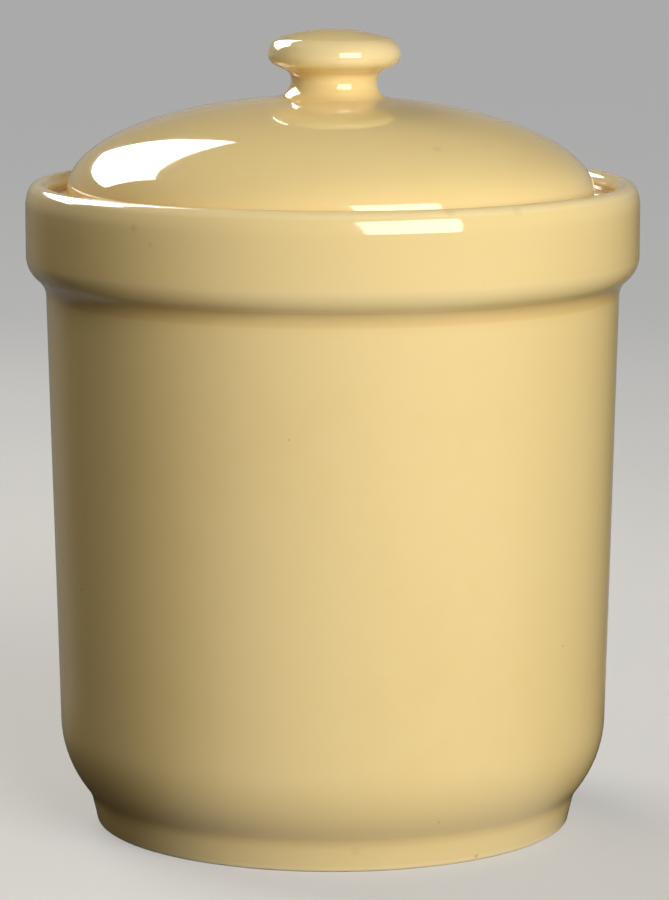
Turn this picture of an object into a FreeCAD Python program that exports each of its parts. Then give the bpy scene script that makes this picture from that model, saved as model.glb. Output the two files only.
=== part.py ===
import FreeCAD, Part
import math
import os
import re
import Sketcher

# A glazed stoneware canister: a straight-sided jar on a foot ring, with a thick collar at its
# mouth, and a domed lid with a turned knob that drops into a gallery inside the collar.
#
# Frame: the origin is the middle of the foot ring on the surface that the jar stands on, +Z is
# up and is the axis that both pieces are turned about. All sizes are in millimetres.

# Driving sizes. Each is written once, here, and goes into the sheet under the same name.
SIZES = {
    # overall
    "body_radius": 82.3,            # outside of the wall just under the collar
    "jar_height": 185.7,            # ground to the top of the rim
    # foot and belly of the jar
    "wall_taper": 3.1,              # the wall is this much smaller in radius above the belly
    "belly_round": 32.4,            # the curve from the wall down to the foot
    "foot_inset": 11.5,             # body radius less the radius at the top of the foot
    "foot_flare": 2.1,              # the foot is this much smaller in radius at the ground
    "foot_height": 9.0,
    "foot_crease_round": 11.0,
    "foot_edge_round": 0.8,
    "foot_ring_width": 5.2,
    "foot_recess": 3.0,             # the underside is this much higher than the foot ring
    "recess_round": 1.6,
    # wall, floor and inside of the jar
    "wall_thickness": 7.3,
    "floor_thickness": 8.0,
    "heel_round": 20.0,
    # collar and rim
    "collar_overhang": 5.7,
    "collar_height": 27.1,          # top of the rim to the turn of the curve under the collar
    "collar_base_round": 8.4,
    "collar_cove_round": 7.1,
    "rim_thickness": 6.75,
    "rim_outer_round": 12.0,
    "rim_inner_round": 3.0,
    # gallery: the step inside the collar that carries the lid
    "gallery_depth": 4.2,
    "gallery_corner_round": 0.8,
    "seat_width": 9.65,
    "seat_lip_height": 6.0,
    "seat_lip_slope": 4.0,
    "seat_edge_round": 0.7,
    # lid
    "lid_gap": 5.6,                 # free ring between the lid's edge and the collar
    "lid_edge_height": 1.5,
    "lid_edge_round": 1.3,
    "dome_rise": 27.1,
    "lid_thickness": 6.5,
    "hollow_shoulder": 12.0,
    "flange_clearance": 1.3,        # free ring between the lid's flange and the seat's lip
    "flange_depth": 6.0,
    "flange_thickness": 5.0,
    "flange_edge_round": 1.2,
    # knob
    "neck_radius": 12.35,
    "neck_base_round": 5.1,
    "neck_top_round": 2.7,
    "knob_radius": 19.05,
    "knob_lift": 11.9,              # top of the whole dome to the widest ring of the knob
    "knob_crown": 7.25,
    "knob_shoulder": 5.0,
    "knob_edge_round": 3.4,
    "knob_undercut": 5.4,           # widest ring down to where the knob's slope meets the neck
}

# Sizes that follow from the driving ones, as expressions on the sheet's names. The same text
# drives the sketches and, worked out by value(), the first placing of their points.
FOOT_TOP = "(body_radius - foot_inset)"
FOOT_BOTTOM = "(body_radius - foot_inset - foot_flare)"
FOOT_INNER = "(body_radius - foot_inset - foot_flare - foot_ring_width)"
BELLY_TOP = "(body_radius - wall_taper)"
COLLAR = "(body_radius + collar_overhang)"
COLLAR_TURN = "(jar_height - collar_height)"
GALLERY = "(body_radius + collar_overhang - rim_thickness)"
RIM_ROUND = "min(rim_inner_round; 0.45 * rim_thickness)"
RIM_CENTRE = "(jar_height - min(rim_inner_round; 0.45 * rim_thickness))"
SEAT_HEIGHT = "(jar_height - gallery_depth)"
SEAT_INNER = "(body_radius + collar_overhang - rim_thickness - seat_width)"
LIP_BOTTOM = "(jar_height - gallery_depth - seat_lip_height)"
BORE_START = "(jar_height - gallery_depth - seat_lip_height - seat_lip_slope)"
BORE_TOP = "(body_radius - wall_thickness)"
BORE_BOTTOM = "(body_radius - wall_taper - wall_thickness)"
FLOOR_HEIGHT = "(foot_recess + floor_thickness)"
LID_RADIUS = "(body_radius + collar_overhang - rim_thickness - lid_gap)"
FLANGE = "(body_radius + collar_overhang - rim_thickness - seat_width - flange_clearance)"
FLANGE_INNER = ("(body_radius + collar_overhang - rim_thickness - seat_width"
                " - flange_clearance - flange_thickness)")
FLANGE_BOTTOM = "(jar_height - gallery_depth - flange_depth)"
DOME_BASE = "(jar_height - gallery_depth + lid_edge_height)"
HOLLOW_RISE = "(dome_rise - lid_thickness)"
KNOB_LEVEL = "(jar_height - gallery_depth + lid_edge_height + dome_rise + knob_lift)"
NECK_TOP = ("(jar_height - gallery_depth + lid_edge_height + dome_rise + knob_lift"
            " - knob_undercut)")

START = 1
END = 2
CENTRE = 3
V_AXIS = -2
ORIGIN = (-1, 1)

doc = FreeCAD.newDocument("canister")
sheet = doc.addObject("Spreadsheet::Sheet", "sizes")
for row, (name, size) in enumerate(SIZES.items(), start=1):
    sheet.set("A%d" % row, name)
    sheet.set("B%d" % row, str(size))
    sheet.setAlias("B%d" % row, name)
doc.recompute()


def bound(text):
    """The expression with each size's name pointed at its cell of the sheet."""
    return re.sub("[a-z_]+", lambda word: ("sizes." if word[0] in SIZES else "") + word[0], text)


def value(text):
    """The value of an expression that is a sum of sizes, each with its sign."""
    signed = re.findall("([-+]?) *([a-z_]+)", text)
    return sum(-sheet.get(word) if sign == "-" else sheet.get(word) for sign, word in signed)


def point(across, up):
    return FreeCAD.Vector(across, up, 0)


class Outline:
    """A closed half section, drawn on the XZ plane of a body: x is the radius, y the height."""

    def __init__(self, body, name):
        self.sketch = body.newObject("Sketcher::SketchObject", name)
        plane = [item for item in body.Origin.OriginFeatures if item.Role == "XZ_Plane"][0]
        self.sketch.AttachmentSupport = [(plane, "")]
        self.sketch.MapMode = "FlatFace"

    def rule(self, *parts):
        return self.sketch.addConstraint(Sketcher.Constraint(*parts))

    def drive(self, rule_index, text):
        self.sketch.setExpression("Constraints[%d]" % rule_index, bound(text))

    def line(self, first, second):
        return self.sketch.addGeometry(Part.LineSegment(point(*first), point(*second)), False)

    def arc(self, centre, radius, from_angle, to_angle, size):
        """An arc run anticlockwise between two angles in degrees, its radius tied to a size."""
        circle = Part.Circle(point(*centre), FreeCAD.Vector(0, 0, 1), radius)
        shape = Part.ArcOfCircle(circle, math.radians(from_angle), math.radians(to_angle))
        index = self.sketch.addGeometry(shape, False)
        self.drive(self.rule("Radius", index, radius), size)
        return index

    def oval(self, level, half_width, half_height, from_angle, to_angle):
        """Part of an ellipse centred on the axis, its half axes tied to sizes.

        Its level is left to what it joins.
        """
        wide = value(half_width)
        tall = value(half_height)
        ellipse = Part.Ellipse(point(wide, level), point(0, level + tall), point(0, level))
        shape = Part.ArcOfEllipse(ellipse, math.radians(from_angle), math.radians(to_angle))
        index = self.sketch.addGeometry(shape, False)
        major = self.sketch.addGeometry(
            Part.LineSegment(point(-wide, level), point(wide, level)), True)
        minor = self.sketch.addGeometry(
            Part.LineSegment(point(0, level - tall), point(0, level + tall)), True)
        self.rule("InternalAlignment:EllipseMajorDiameter", major, index)
        self.rule("InternalAlignment:EllipseMinorDiameter", minor, index)
        self.rule("Horizontal", major)
        self.rule("PointOnObject", index, CENTRE, V_AXIS)
        self.drive(self.rule("DistanceX", major, START, major, END, 2 * wide), "2 * " + half_width)
        self.drive(self.rule("DistanceY", minor, START, minor, END, 2 * tall),
                   "2 * " + half_height)
        return index

    def arch(self, half_width, level, rise, shoulder):
        """Two smooth arcs from a widest ring up to the axis: a tight shoulder, a flat crown.

        Gives the indices of both. The widest ring's place is left to what the arch joins.
        """
        wide = value(half_width)
        tall = value(rise)
        tight = value(shoulder)
        flat = ((wide - tight) ** 2 + tall ** 2 - tight ** 2) / (2 * (tall - tight))
        lean = math.degrees(math.atan2(flat - tall, wide - tight))
        shoulder_arc = self.arc((wide - tight, level), tight, 0, lean, shoulder)
        circle = Part.Circle(point(0, level + tall - flat), FreeCAD.Vector(0, 0, 1), flat)
        crown_shape = Part.ArcOfCircle(circle, math.radians(lean), math.radians(90))
        crown_arc = self.sketch.addGeometry(crown_shape, False)
        self.rule("Horizontal", shoulder_arc, START, shoulder_arc, CENTRE)
        self.join(shoulder_arc, END, crown_arc, START, smooth=True)
        self.rule("PointOnObject", crown_arc, CENTRE, V_AXIS)
        self.rule("PointOnObject", crown_arc, END, V_AXIS)
        self.lift(shoulder_arc, START, crown_arc, END, rise)
        return shoulder_arc, crown_arc

    def across(self, index, end, text):
        """Ties a point's radius to an expression."""
        self.drive(self.rule("DistanceX", *ORIGIN, index, end, value(text)), text)

    def up(self, index, end, text):
        """Ties a point's height above the ground to an expression."""
        self.drive(self.rule("DistanceY", *ORIGIN, index, end, value(text)), text)

    def lift(self, first, first_end, second, second_end, text):
        """Ties how much higher the second point stands than the first to an expression."""
        rule_index = self.rule("DistanceY", first, first_end, second, second_end, value(text))
        self.drive(rule_index, text)

    def join(self, first, first_end, second, second_end, smooth=False):
        kind = "Tangent" if smooth else "Coincident"
        self.rule(kind, first, first_end, second, second_end)

    def turn(self, kind):
        """Turns the section once round the body's axis, as a solid or as a cut."""
        body = self.sketch.getParentGeoFeatureGroup()
        feature = body.newObject(kind, self.sketch.Name + "_turned")
        feature.Profile = self.sketch
        feature.ReferenceAxis = (self.sketch, ["V_Axis"])
        feature.Angle = 360
        self.sketch.Visibility = False
        doc.recompute()
        return feature


def ring_edge(shape, radius, height):
    """The name of the round edge about the Z axis that lies nearest a radius and height."""
    best_name = None
    best_miss = None
    for number, edge in enumerate(shape.Edges, start=1):
        if edge.Degenerated or not isinstance(edge.Curve, Part.Circle):
            continue
        miss = math.hypot(edge.Curve.Radius - radius, edge.Curve.Center.z - height)
        if best_miss is None or miss < best_miss:
            best_name = "Edge%d" % number
            best_miss = miss
    return best_name


def round_edges(body, name, radius_text, places):
    """Rounds the ring edges nearest the given (radius, height) places."""
    tip = body.Tip
    fillet = body.newObject("PartDesign::Fillet", name)
    fillet.Base = (tip, [ring_edge(tip.Shape, *place) for place in places])
    fillet.setExpression("Radius", bound(radius_text))
    doc.recompute()
    return fillet


def make_body(name):
    body = doc.addObject("PartDesign::Body", name)
    body.Label = name
    body.Placement = FreeCAD.Placement()
    doc.recompute()
    return body


def jar_outside(body):
    """Foot, belly, tapered wall and collar, filled right through to the axis."""
    outline = Outline(body, "jar_outside")
    foot_bottom = value(FOOT_BOTTOM)
    foot_top = value(FOOT_TOP)
    foot_height = value("foot_height")
    belly = value("belly_round")
    belly_top = value(BELLY_TOP)
    wall = value("body_radius")
    cove = value("collar_cove_round")
    base = value("collar_base_round")
    collar = value(COLLAR)
    turn = value(COLLAR_TURN)
    gallery = value(GALLERY)
    rim = value("jar_height")
    # The belly's arc starts where it meets the foot and ends level with its own centre.
    reach = foot_top - (belly_top - belly)
    belly_angle = math.degrees(math.acos(reach / belly))
    belly_level = foot_height + belly * math.sin(math.radians(belly_angle))
    # The cove and the collar's base are two arcs that turn through the same angle.
    swing = math.degrees(math.acos(1 - (collar - wall) / (cove + base)))
    cove_level = turn - cove * math.sin(math.radians(swing))
    base_level = turn + base * math.sin(math.radians(swing))

    ground = outline.line((0, 0), (foot_bottom, 0))
    foot = outline.line((foot_bottom, 0), (foot_top, foot_height))
    belly_arc = outline.arc((belly_top - belly, belly_level), belly, -belly_angle, 0, "belly_round")
    wall_line = outline.line((belly_top, belly_level), (wall, cove_level))
    cove_arc = outline.arc((wall + cove, cove_level), cove, 180 - swing, 180, "collar_cove_round")
    base_arc = outline.arc((collar - base, base_level), base, -swing, 0, "collar_base_round")
    # The rim's two arcs meet where their centres are in line, between the side and the crest.
    outer = value("rim_outer_round")
    inner = min(value("rim_inner_round"), 0.45 * value("rim_thickness"))
    lean = math.degrees(math.acos((outer + inner - value("rim_thickness")) / (outer - inner)))
    inner_level = rim - inner
    outer_level = inner_level - (outer - inner) * math.sin(math.radians(lean))
    side = outline.line((collar, base_level), (collar, outer_level))
    outer_arc = outline.arc((collar - outer, outer_level), outer, 0, lean, "rim_outer_round")
    inner_arc = outline.arc((gallery + inner, inner_level), inner, lean, 180, RIM_ROUND)
    top = outline.line((gallery, inner_level), (0, inner_level))
    axis = outline.line((0, inner_level), (0, 0))

    outline.join(ground, END, foot, START)
    outline.join(foot, END, belly_arc, START)
    outline.join(belly_arc, END, wall_line, START, smooth=True)
    outline.join(wall_line, END, cove_arc, END, smooth=True)
    outline.join(cove_arc, START, base_arc, START, smooth=True)
    outline.join(base_arc, END, side, START, smooth=True)
    outline.join(side, END, outer_arc, START, smooth=True)
    outline.join(outer_arc, END, inner_arc, START, smooth=True)
    outline.join(inner_arc, END, top, START)
    outline.join(top, END, axis, START)
    outline.join(axis, END, ground, START)
    outline.rule("Coincident", ground, START, *ORIGIN)
    outline.rule("Horizontal", ground)
    outline.rule("Vertical", side)
    outline.rule("Horizontal", inner_arc, END, inner_arc, CENTRE)
    outline.rule("Horizontal", top)
    outline.rule("Vertical", axis)
    outline.across(foot, START, FOOT_BOTTOM)
    outline.across(foot, END, FOOT_TOP)
    outline.up(foot, END, "foot_height")
    outline.across(wall_line, START, BELLY_TOP)
    outline.across(wall_line, END, "body_radius")
    outline.up(base_arc, START, COLLAR_TURN)
    outline.across(side, START, COLLAR)
    outline.across(inner_arc, END, GALLERY)
    rim_centre = outline.rule("DistanceY", *ORIGIN, inner_arc, CENTRE, inner_level)
    outline.drive(rim_centre, RIM_CENTRE)
    return outline.turn("PartDesign::Revolution")


def jar_inside(body):
    """The bore with its rounded heel, the seat's lip and the gallery above it, cut away."""
    outline = Outline(body, "jar_inside")
    heel = value("heel_round")
    floor = value(FLOOR_HEIGHT)
    bore_bottom = value(BORE_BOTTOM)
    bore_top = value(BORE_TOP)
    bore_start = value(BORE_START)
    seat_inner = value(SEAT_INNER)
    lip_bottom = value(LIP_BOTTOM)
    seat = value(SEAT_HEIGHT)
    gallery = value(GALLERY)
    rim = value("jar_height")

    ground = outline.line((0, floor), (bore_bottom - heel, floor))
    heel_arc = outline.arc((bore_bottom - heel, floor + heel), heel, 270, 360, "heel_round")
    bore = outline.line((bore_bottom, floor + heel), (bore_top, bore_start))
    slope = outline.line((bore_top, bore_start), (seat_inner, lip_bottom))
    lip = outline.line((seat_inner, lip_bottom), (seat_inner, seat))
    ledge = outline.line((seat_inner, seat), (gallery, seat))
    side = outline.line((gallery, seat), (gallery, rim))
    top = outline.line((gallery, rim), (0, rim))
    axis = outline.line((0, rim), (0, floor))

    outline.join(ground, END, heel_arc, START, smooth=True)
    outline.join(heel_arc, END, bore, START, smooth=True)
    outline.join(bore, END, slope, START)
    outline.join(slope, END, lip, START)
    outline.join(lip, END, ledge, START)
    outline.join(ledge, END, side, START)
    outline.join(side, END, top, START)
    outline.join(top, END, axis, START)
    outline.join(axis, END, ground, START)
    outline.rule("Horizontal", ground)
    outline.rule("Vertical", lip)
    outline.rule("Horizontal", ledge)
    outline.rule("Vertical", side)
    outline.rule("Horizontal", top)
    outline.rule("PointOnObject", axis, START, V_AXIS)
    outline.rule("PointOnObject", axis, END, V_AXIS)
    outline.up(ground, START, FLOOR_HEIGHT)
    outline.across(bore, START, BORE_BOTTOM)
    outline.across(bore, END, BORE_TOP)
    outline.up(bore, END, BORE_START)
    outline.across(lip, START, SEAT_INNER)
    outline.up(lip, START, LIP_BOTTOM)
    outline.up(ledge, START, SEAT_HEIGHT)
    outline.across(side, START, GALLERY)
    outline.up(side, END, "jar_height")
    return outline.turn("PartDesign::Groove")


def jar_underside(body):
    """The shallow recess that leaves the jar standing on a foot ring."""
    outline = Outline(body, "jar_underside")
    inner = value(FOOT_INNER)
    recess = value("foot_recess")
    ground = outline.line((0, 0), (inner, 0))
    side = outline.line((inner, 0), (inner, recess))
    ceiling = outline.line((inner, recess), (0, recess))
    axis = outline.line((0, recess), (0, 0))
    outline.join(ground, END, side, START)
    outline.join(side, END, ceiling, START)
    outline.join(ceiling, END, axis, START)
    outline.join(axis, END, ground, START)
    outline.rule("Coincident", ground, START, *ORIGIN)
    outline.rule("Horizontal", ground)
    outline.rule("Vertical", side)
    outline.rule("Horizontal", ceiling)
    outline.rule("Vertical", axis)
    outline.across(ground, END, FOOT_INNER)
    outline.up(side, END, "foot_recess")
    return outline.turn("PartDesign::Groove")


def make_jar():
    """The jar: one hollow piece with a foot ring, a collar and a gallery for the lid."""
    body = make_body("jar")
    features = [jar_outside(body), jar_inside(body), jar_underside(body)]
    seat = value(SEAT_HEIGHT)
    foot_bottom = value(FOOT_BOTTOM)
    features.append(round_edges(
        body, "gallery_corner_rounding", "gallery_corner_round", [(value(GALLERY), seat)]))
    features.append(round_edges(
        body, "seat_edge_rounding", "seat_edge_round",
        [(value(SEAT_INNER), seat), (value(SEAT_INNER), value(LIP_BOTTOM)),
         (value(BORE_TOP), value(BORE_START))]))
    features.append(round_edges(
        body, "foot_crease_rounding", "foot_crease_round",
        [(value(FOOT_TOP), value("foot_height"))]))
    features.append(round_edges(
        body, "foot_edge_rounding", "foot_edge_round",
        [(foot_bottom, 0), (value(FOOT_INNER), 0)]))
    features.append(round_edges(
        body, "recess_rounding", "recess_round", [(value(FOOT_INNER), value("foot_recess"))]))
    return body, features


def neck_foot():
    """The height at which the neck's side meets the dome."""
    share = value("neck_radius") / value(LID_RADIUS)
    return value(DOME_BASE) + value("dome_rise") * math.sqrt(1 - share ** 2)


def lid_outside(body):
    """Flange, edge, domed top, neck and knob, filled right through to the axis."""
    outline = Outline(body, "lid_outside")
    flange = value(FLANGE)
    flange_bottom = value(FLANGE_BOTTOM)
    seat = value(SEAT_HEIGHT)
    edge = value(LID_RADIUS)
    dome_base = value(DOME_BASE)
    neck = value("neck_radius")
    neck_top = value(NECK_TOP)
    knob = value("knob_radius")
    knob_level = value(KNOB_LEVEL)
    knob_edge = value("knob_edge_round")
    neck_angle = math.degrees(math.acos(neck / edge))
    # The slope under the knob touches the arc of the knob's edge.
    reach = knob - knob_edge - neck
    rise = knob_level - neck_top
    slope = math.atan2(rise, reach) - math.asin(knob_edge / math.hypot(reach, rise))
    touch = (knob - knob_edge + knob_edge * math.sin(slope), knob_level - knob_edge * math.cos(slope))

    tip = outline.line((0, flange_bottom), (flange, flange_bottom))
    flange_side = outline.line((flange, flange_bottom), (flange, seat))
    under = outline.line((flange, seat), (edge, seat))
    edge_side = outline.line((edge, seat), (edge, dome_base))
    dome = outline.oval(dome_base, LID_RADIUS, "dome_rise", 0, neck_angle)
    neck_side = outline.line((neck, neck_foot()), (neck, neck_top))
    under_knob = outline.line((neck, neck_top), touch)
    knob_edge_arc = outline.arc(
        (knob - knob_edge, knob_level), knob_edge, math.degrees(slope) - 90, 0, "knob_edge_round")
    shoulder, crown = outline.arch("knob_radius", knob_level, "knob_crown", "knob_shoulder")
    axis = outline.line((0, knob_level + value("knob_crown")), (0, flange_bottom))

    outline.join(tip, END, flange_side, START)
    outline.join(flange_side, END, under, START)
    outline.join(under, END, edge_side, START)
    outline.join(edge_side, END, dome, START)
    outline.join(dome, END, neck_side, START)
    outline.join(neck_side, END, under_knob, START)
    outline.join(under_knob, END, knob_edge_arc, START, smooth=True)
    outline.join(knob_edge_arc, END, shoulder, START)
    outline.join(crown, END, axis, START)
    outline.join(axis, END, tip, START)
    outline.rule("Horizontal", tip)
    outline.rule("Vertical", flange_side)
    outline.rule("Horizontal", under)
    outline.rule("Vertical", edge_side)
    outline.rule("Vertical", neck_side)
    outline.rule("PointOnObject", axis, END, V_AXIS)
    outline.rule("Horizontal", dome, START, dome, CENTRE)
    outline.rule("Horizontal", knob_edge_arc, END, knob_edge_arc, CENTRE)
    outline.up(tip, START, FLANGE_BOTTOM)
    outline.across(flange_side, END, FLANGE)
    outline.up(flange_side, END, SEAT_HEIGHT)
    outline.up(edge_side, END, DOME_BASE)
    outline.across(neck_side, START, "neck_radius")
    outline.up(neck_side, END, NECK_TOP)
    outline.across(shoulder, START, "knob_radius")
    outline.up(shoulder, START, KNOB_LEVEL)
    return outline.turn("PartDesign::Revolution")


def lid_inside(body):
    """The hollow under the dome, of one thickness with it, and the inner face of the flange."""
    outline = Outline(body, "lid_inside")
    inner = value(FLANGE_INNER)
    flange_bottom = value(FLANGE_BOTTOM)
    dome_base = value(DOME_BASE)
    crown = dome_base + value(HOLLOW_RISE)
    mouth = outline.line((0, flange_bottom), (inner, flange_bottom))
    side = outline.line((inner, flange_bottom), (inner, dome_base))
    shoulder, dome = outline.arch(FLANGE_INNER, dome_base, HOLLOW_RISE, "hollow_shoulder")
    axis = outline.line((0, crown), (0, flange_bottom))
    outline.join(mouth, END, side, START)
    outline.join(side, END, shoulder, START)
    outline.join(dome, END, axis, START)
    outline.join(axis, END, mouth, START)
    outline.rule("Horizontal", mouth)
    outline.rule("Vertical", side)
    outline.rule("PointOnObject", axis, END, V_AXIS)
    outline.up(mouth, START, FLANGE_BOTTOM)
    outline.across(side, START, FLANGE_INNER)
    outline.up(side, END, DOME_BASE)
    return outline.turn("PartDesign::Groove")


def make_lid():
    """The lid: one piece with its knob, hollow under the dome, with a flange for the bore."""
    body = make_body("lid")
    features = [lid_outside(body), lid_inside(body)]
    neck = value("neck_radius")
    flange_bottom = value(FLANGE_BOTTOM)
    features.append(round_edges(
        body, "neck_base_rounding", "min(neck_base_round; 0.8 * (knob_lift - knob_undercut))",
        [(neck, neck_foot())]))
    features.append(round_edges(
        body, "neck_top_rounding", "min(neck_top_round; 0.44 * (knob_lift - knob_undercut))",
        [(neck, value(NECK_TOP))]))
    features.append(round_edges(
        body, "lid_edge_rounding", "min(lid_edge_round; 0.9 * lid_edge_height)",
        [(value(LID_RADIUS), value(SEAT_HEIGHT))]))
    features.append(round_edges(
        body, "flange_edge_rounding", "min(flange_edge_round; 0.4 * flange_thickness)",
        [(value(FLANGE), flange_bottom), (value(FLANGE_INNER), flange_bottom)]))
    return body, features


def check_document():
    """Stops the build if any object of the document has failed."""
    for item in doc.Objects:
        faults = [state for state in item.State if state in ("Invalid", "Error")]
        if faults:
            raise RuntimeError("%s: %s" % (item.Name, ", ".join(faults)))


def check_volumes(features):
    """Stops the build if a cut took nothing away or a turned solid added nothing."""
    volumes = [feature.Shape.Volume for feature in features]
    for feature, before, after in zip(features[1:], volumes, volumes[1:]):
        if abs(after - before) < 1.0:
            raise RuntimeError("%s changed nothing" % feature.Name)
        if feature.TypeId == "PartDesign::Groove" and after > before:
            raise RuntimeError("%s added material" % feature.Name)


pieces = [make_jar(), make_lid()]
doc.recompute()
check_document()
os.makedirs("parts", exist_ok=True)
for body, features in pieces:
    check_volumes(features)
    shape = body.Shape
    if shape.isNull() or not shape.isValid() or len(shape.Solids) != 1:
        raise RuntimeError("%s is not one sound solid" % body.Label)
for body, features in pieces:
    body.Shape.exportStep("parts/%s.step" % body.Label)
    print("%s: %.1f cm3" % (body.Label, body.Shape.Volume / 1000))
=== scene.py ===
"""A glazed ceramic canister: a turned jar with a thick collar, and a domed lid with a knob."""

import math

import bpy
from bpy.props import FloatProperty, FloatVectorProperty, PointerProperty
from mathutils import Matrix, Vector
import numpy as np


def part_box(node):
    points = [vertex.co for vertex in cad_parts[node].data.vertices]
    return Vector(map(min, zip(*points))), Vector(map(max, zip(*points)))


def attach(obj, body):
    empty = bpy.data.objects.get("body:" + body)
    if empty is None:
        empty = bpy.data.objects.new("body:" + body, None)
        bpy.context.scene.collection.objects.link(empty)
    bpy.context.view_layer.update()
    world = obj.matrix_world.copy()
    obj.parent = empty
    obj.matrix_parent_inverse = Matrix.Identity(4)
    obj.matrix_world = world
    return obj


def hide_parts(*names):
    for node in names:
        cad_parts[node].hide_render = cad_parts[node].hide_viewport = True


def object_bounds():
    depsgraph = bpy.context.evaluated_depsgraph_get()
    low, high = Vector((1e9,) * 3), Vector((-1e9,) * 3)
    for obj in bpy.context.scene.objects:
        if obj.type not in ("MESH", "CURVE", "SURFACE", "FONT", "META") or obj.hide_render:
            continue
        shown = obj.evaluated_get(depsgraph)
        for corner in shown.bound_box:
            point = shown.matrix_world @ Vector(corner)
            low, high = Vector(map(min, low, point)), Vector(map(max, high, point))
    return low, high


bl_info = {
    "name": "Ceramic canister",
    "version": (1, 0, 0),
    "blender": (4, 5, 0),
    "location": "3D View > Sidebar > Canister",
    "description": "Makes a glazed ceramic canister, its lid and a plain stage round them",
    "category": "Add Mesh",
}

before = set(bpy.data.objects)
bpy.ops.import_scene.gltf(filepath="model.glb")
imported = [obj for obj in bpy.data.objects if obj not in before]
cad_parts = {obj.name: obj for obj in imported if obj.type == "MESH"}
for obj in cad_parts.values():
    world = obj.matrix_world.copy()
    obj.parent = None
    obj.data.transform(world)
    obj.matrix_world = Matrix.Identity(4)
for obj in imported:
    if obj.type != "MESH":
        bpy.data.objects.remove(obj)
CAD_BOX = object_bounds()
JAR_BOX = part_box("jar")

MM = 0.001

# How finely the surfaces are cut
COLUMNS = 384                     # points round a turned piece
JAR_ROWS = 240                    # points along the jar's half section
LID_ROWS = 220                    # points along the lid's half section
FINE_STEP = 0.05 * MM             # spacing of a half section before it is thinned to rows
ROW_LENGTH = 5 * MM               # length that weighs as much as one row
ROW_TURN = math.radians(4)        # turn that weighs as much as one row
BEND_WINDOW = 0.5 * MM            # length over which the bending is averaged
SEARCH_STEPS = 1200               # heights tried for the hollow at the foot of the neck
FLOOR_CORNERS = 96                # corners of the round floor
CARD_COLUMNS = 181                # points round the dark card

# Hand-made traits of the surfaces
CREASE_SOFTENING = 0.35 * MM      # length over which the glaze softens a crease
HOLLOW_RADIUS = 2 * MM            # radius of curvature that counts as fully hollow
STEADY_RADIUS = 30 * MM           # the unevenness fades out from here to the axis
FLANGE_ROOT_ROUND = 0.5 * MM      # corner between the lid's flange and its seat
LEAN_RISE = 6 * MM                # height above the seat over which the lean sets in
NECK_LEVEL = 26 * MM              # height above the seat where the knob's own shift starts
NECK_RISE = 8 * MM                # height over which that shift sets in

# Waves of the unevenness: turns round the piece, length in metres along its section, start
JAR_WAVES = ((2, 0.31, 0.4), (3, -0.19, 1.7), (5, 0.12, 2.9))
LID_WAVES = ((2, 0.15, 2.2), (3, -0.11, 0.3), (5, 0.06, 4.0))

# Small marks in the glaze: place in metres, radius in metres, strength
JAR_SPOTS = (
    ((0.0327, -0.0615, 0.0129), 0.0005, 0.65),      # dark dot above the foot
    ((0.0062, -0.0693, 0.0065), 0.0010, 0.10),      # smudge on the foot
    ((0.0404, -0.0563, 0.0013), 0.0005, 0.45),      # nick in the foot's edge
    ((0.0312, -0.0797, 0.1849), 0.0011, 0.14),      # faint marks on the collar
    ((0.0497, -0.0707, 0.1843), 0.0011, 0.12),
    ((-0.0540, -0.0695, 0.1796), 0.0008, 0.16),
    ((-0.0493, -0.0729, 0.1754), 0.0006, 0.12))
LID_SPOTS = (((0.0286, -0.0522, 0.1998), 0.0010, 0.12),)

# Glaze: scales are in cycles or cells per metre, relief in millimetres, dots in cells
SLOW_CLOUDS, FAST_CLOUDS, SLOW_SHARE = 16.0, 90.0, 0.65
SPECK_CELLS, PINHOLE_CELLS, DOT_EDGE = 170.0, 120.0, 0.03
SWELL_SCALE, PEEL_SCALE, GLOSS_SCALE, CLAY_SCALE = 38.0, 520.0, 45.0, 130.0
RELIEF = {"Swell": 0.06, "Peel": 0.0025, "Pinholes": 0.03}
NOISE_BAND = 0.3, 0.7             # nearly all of a noise lies between these
GLAZE_IOR = 1.55
GLOSSIEST, DULLEST = 0.04, 0.09   # roughness of the glaze
CLAY_ROUGHNESS = 0.8              # what bare clay adds to it
GLAZE_RAGGED = 0.9 * MM           # how unevenly the glaze ends above bare clay
GLAZE_END = 0.75 * MM, 0.35 * MM  # heights above the bare part between which it thins out

# Stage: lengths in metres, angles in degrees
LAMP_DISTANCE = 1.6
SHINE_OFFSET = 0.01               # how far behind its light a lamp's shine stands
LAMPS = (                         # name, azimuth, elevation, size, shine, colour
    ("key", 29, 18, (1.07, 0.88), 0.95, (1.0, 0.965, 0.90)),
    ("back", -139, 34.5, (1.12, 0.80), 2.2, (1.0, 0.94, 0.82)),
    ("top", 0, 88, (1.2, 1.2), 0.0, (1.0, 0.94, 0.82)))
NEAR, FAR = 0.35, 1.25            # the floor changes from lit to glowing between these radii
NEAR_GLOW, FAR_LIT = 0.75, 0.15   # share of glow near the object and of lamplight far from it
UNDER_COLOUR, UNDER_GLOW = (1.0, 0.95, 0.85, 1), 0.7     # the floor's glow on the underside
UNDER_RADII = 0.050, 0.058        # where that glow fades out, inside the foot ring
CARD_COLOUR = (0.05, 0.045, 0.035, 1)
CARD_INNER, CARD_LIFT = 0.066, 0.0003     # its edge by the foot, and its height off the floor
CARD_SOLID = 0.72                 # share of the card's height below its fading top
CARD_SIDES = (-15, -60), (50, 85)     # angles from clear in front to dark at each side
CARD_BEHIND = (-103, -127, 0.3), (130, 165, 0.85)     # and on to thinner, by a share, behind
FLOOR_GRAIN_SCALE, FLOOR_GRAIN = 3.0, (0.97, 1.03)
ROOM_COLOUR, ROOM_STRENGTH = (1.0, 0.85, 0.54, 1), 0.03
HORIZON, OVERHEAD = 0.36, 0.10    # strength of the background level with the eye and above
CEILING_RISE = 0.45               # upward part of a direction where the second is reached


# ------------------------------
# Sizes and colours that a user may change


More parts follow.
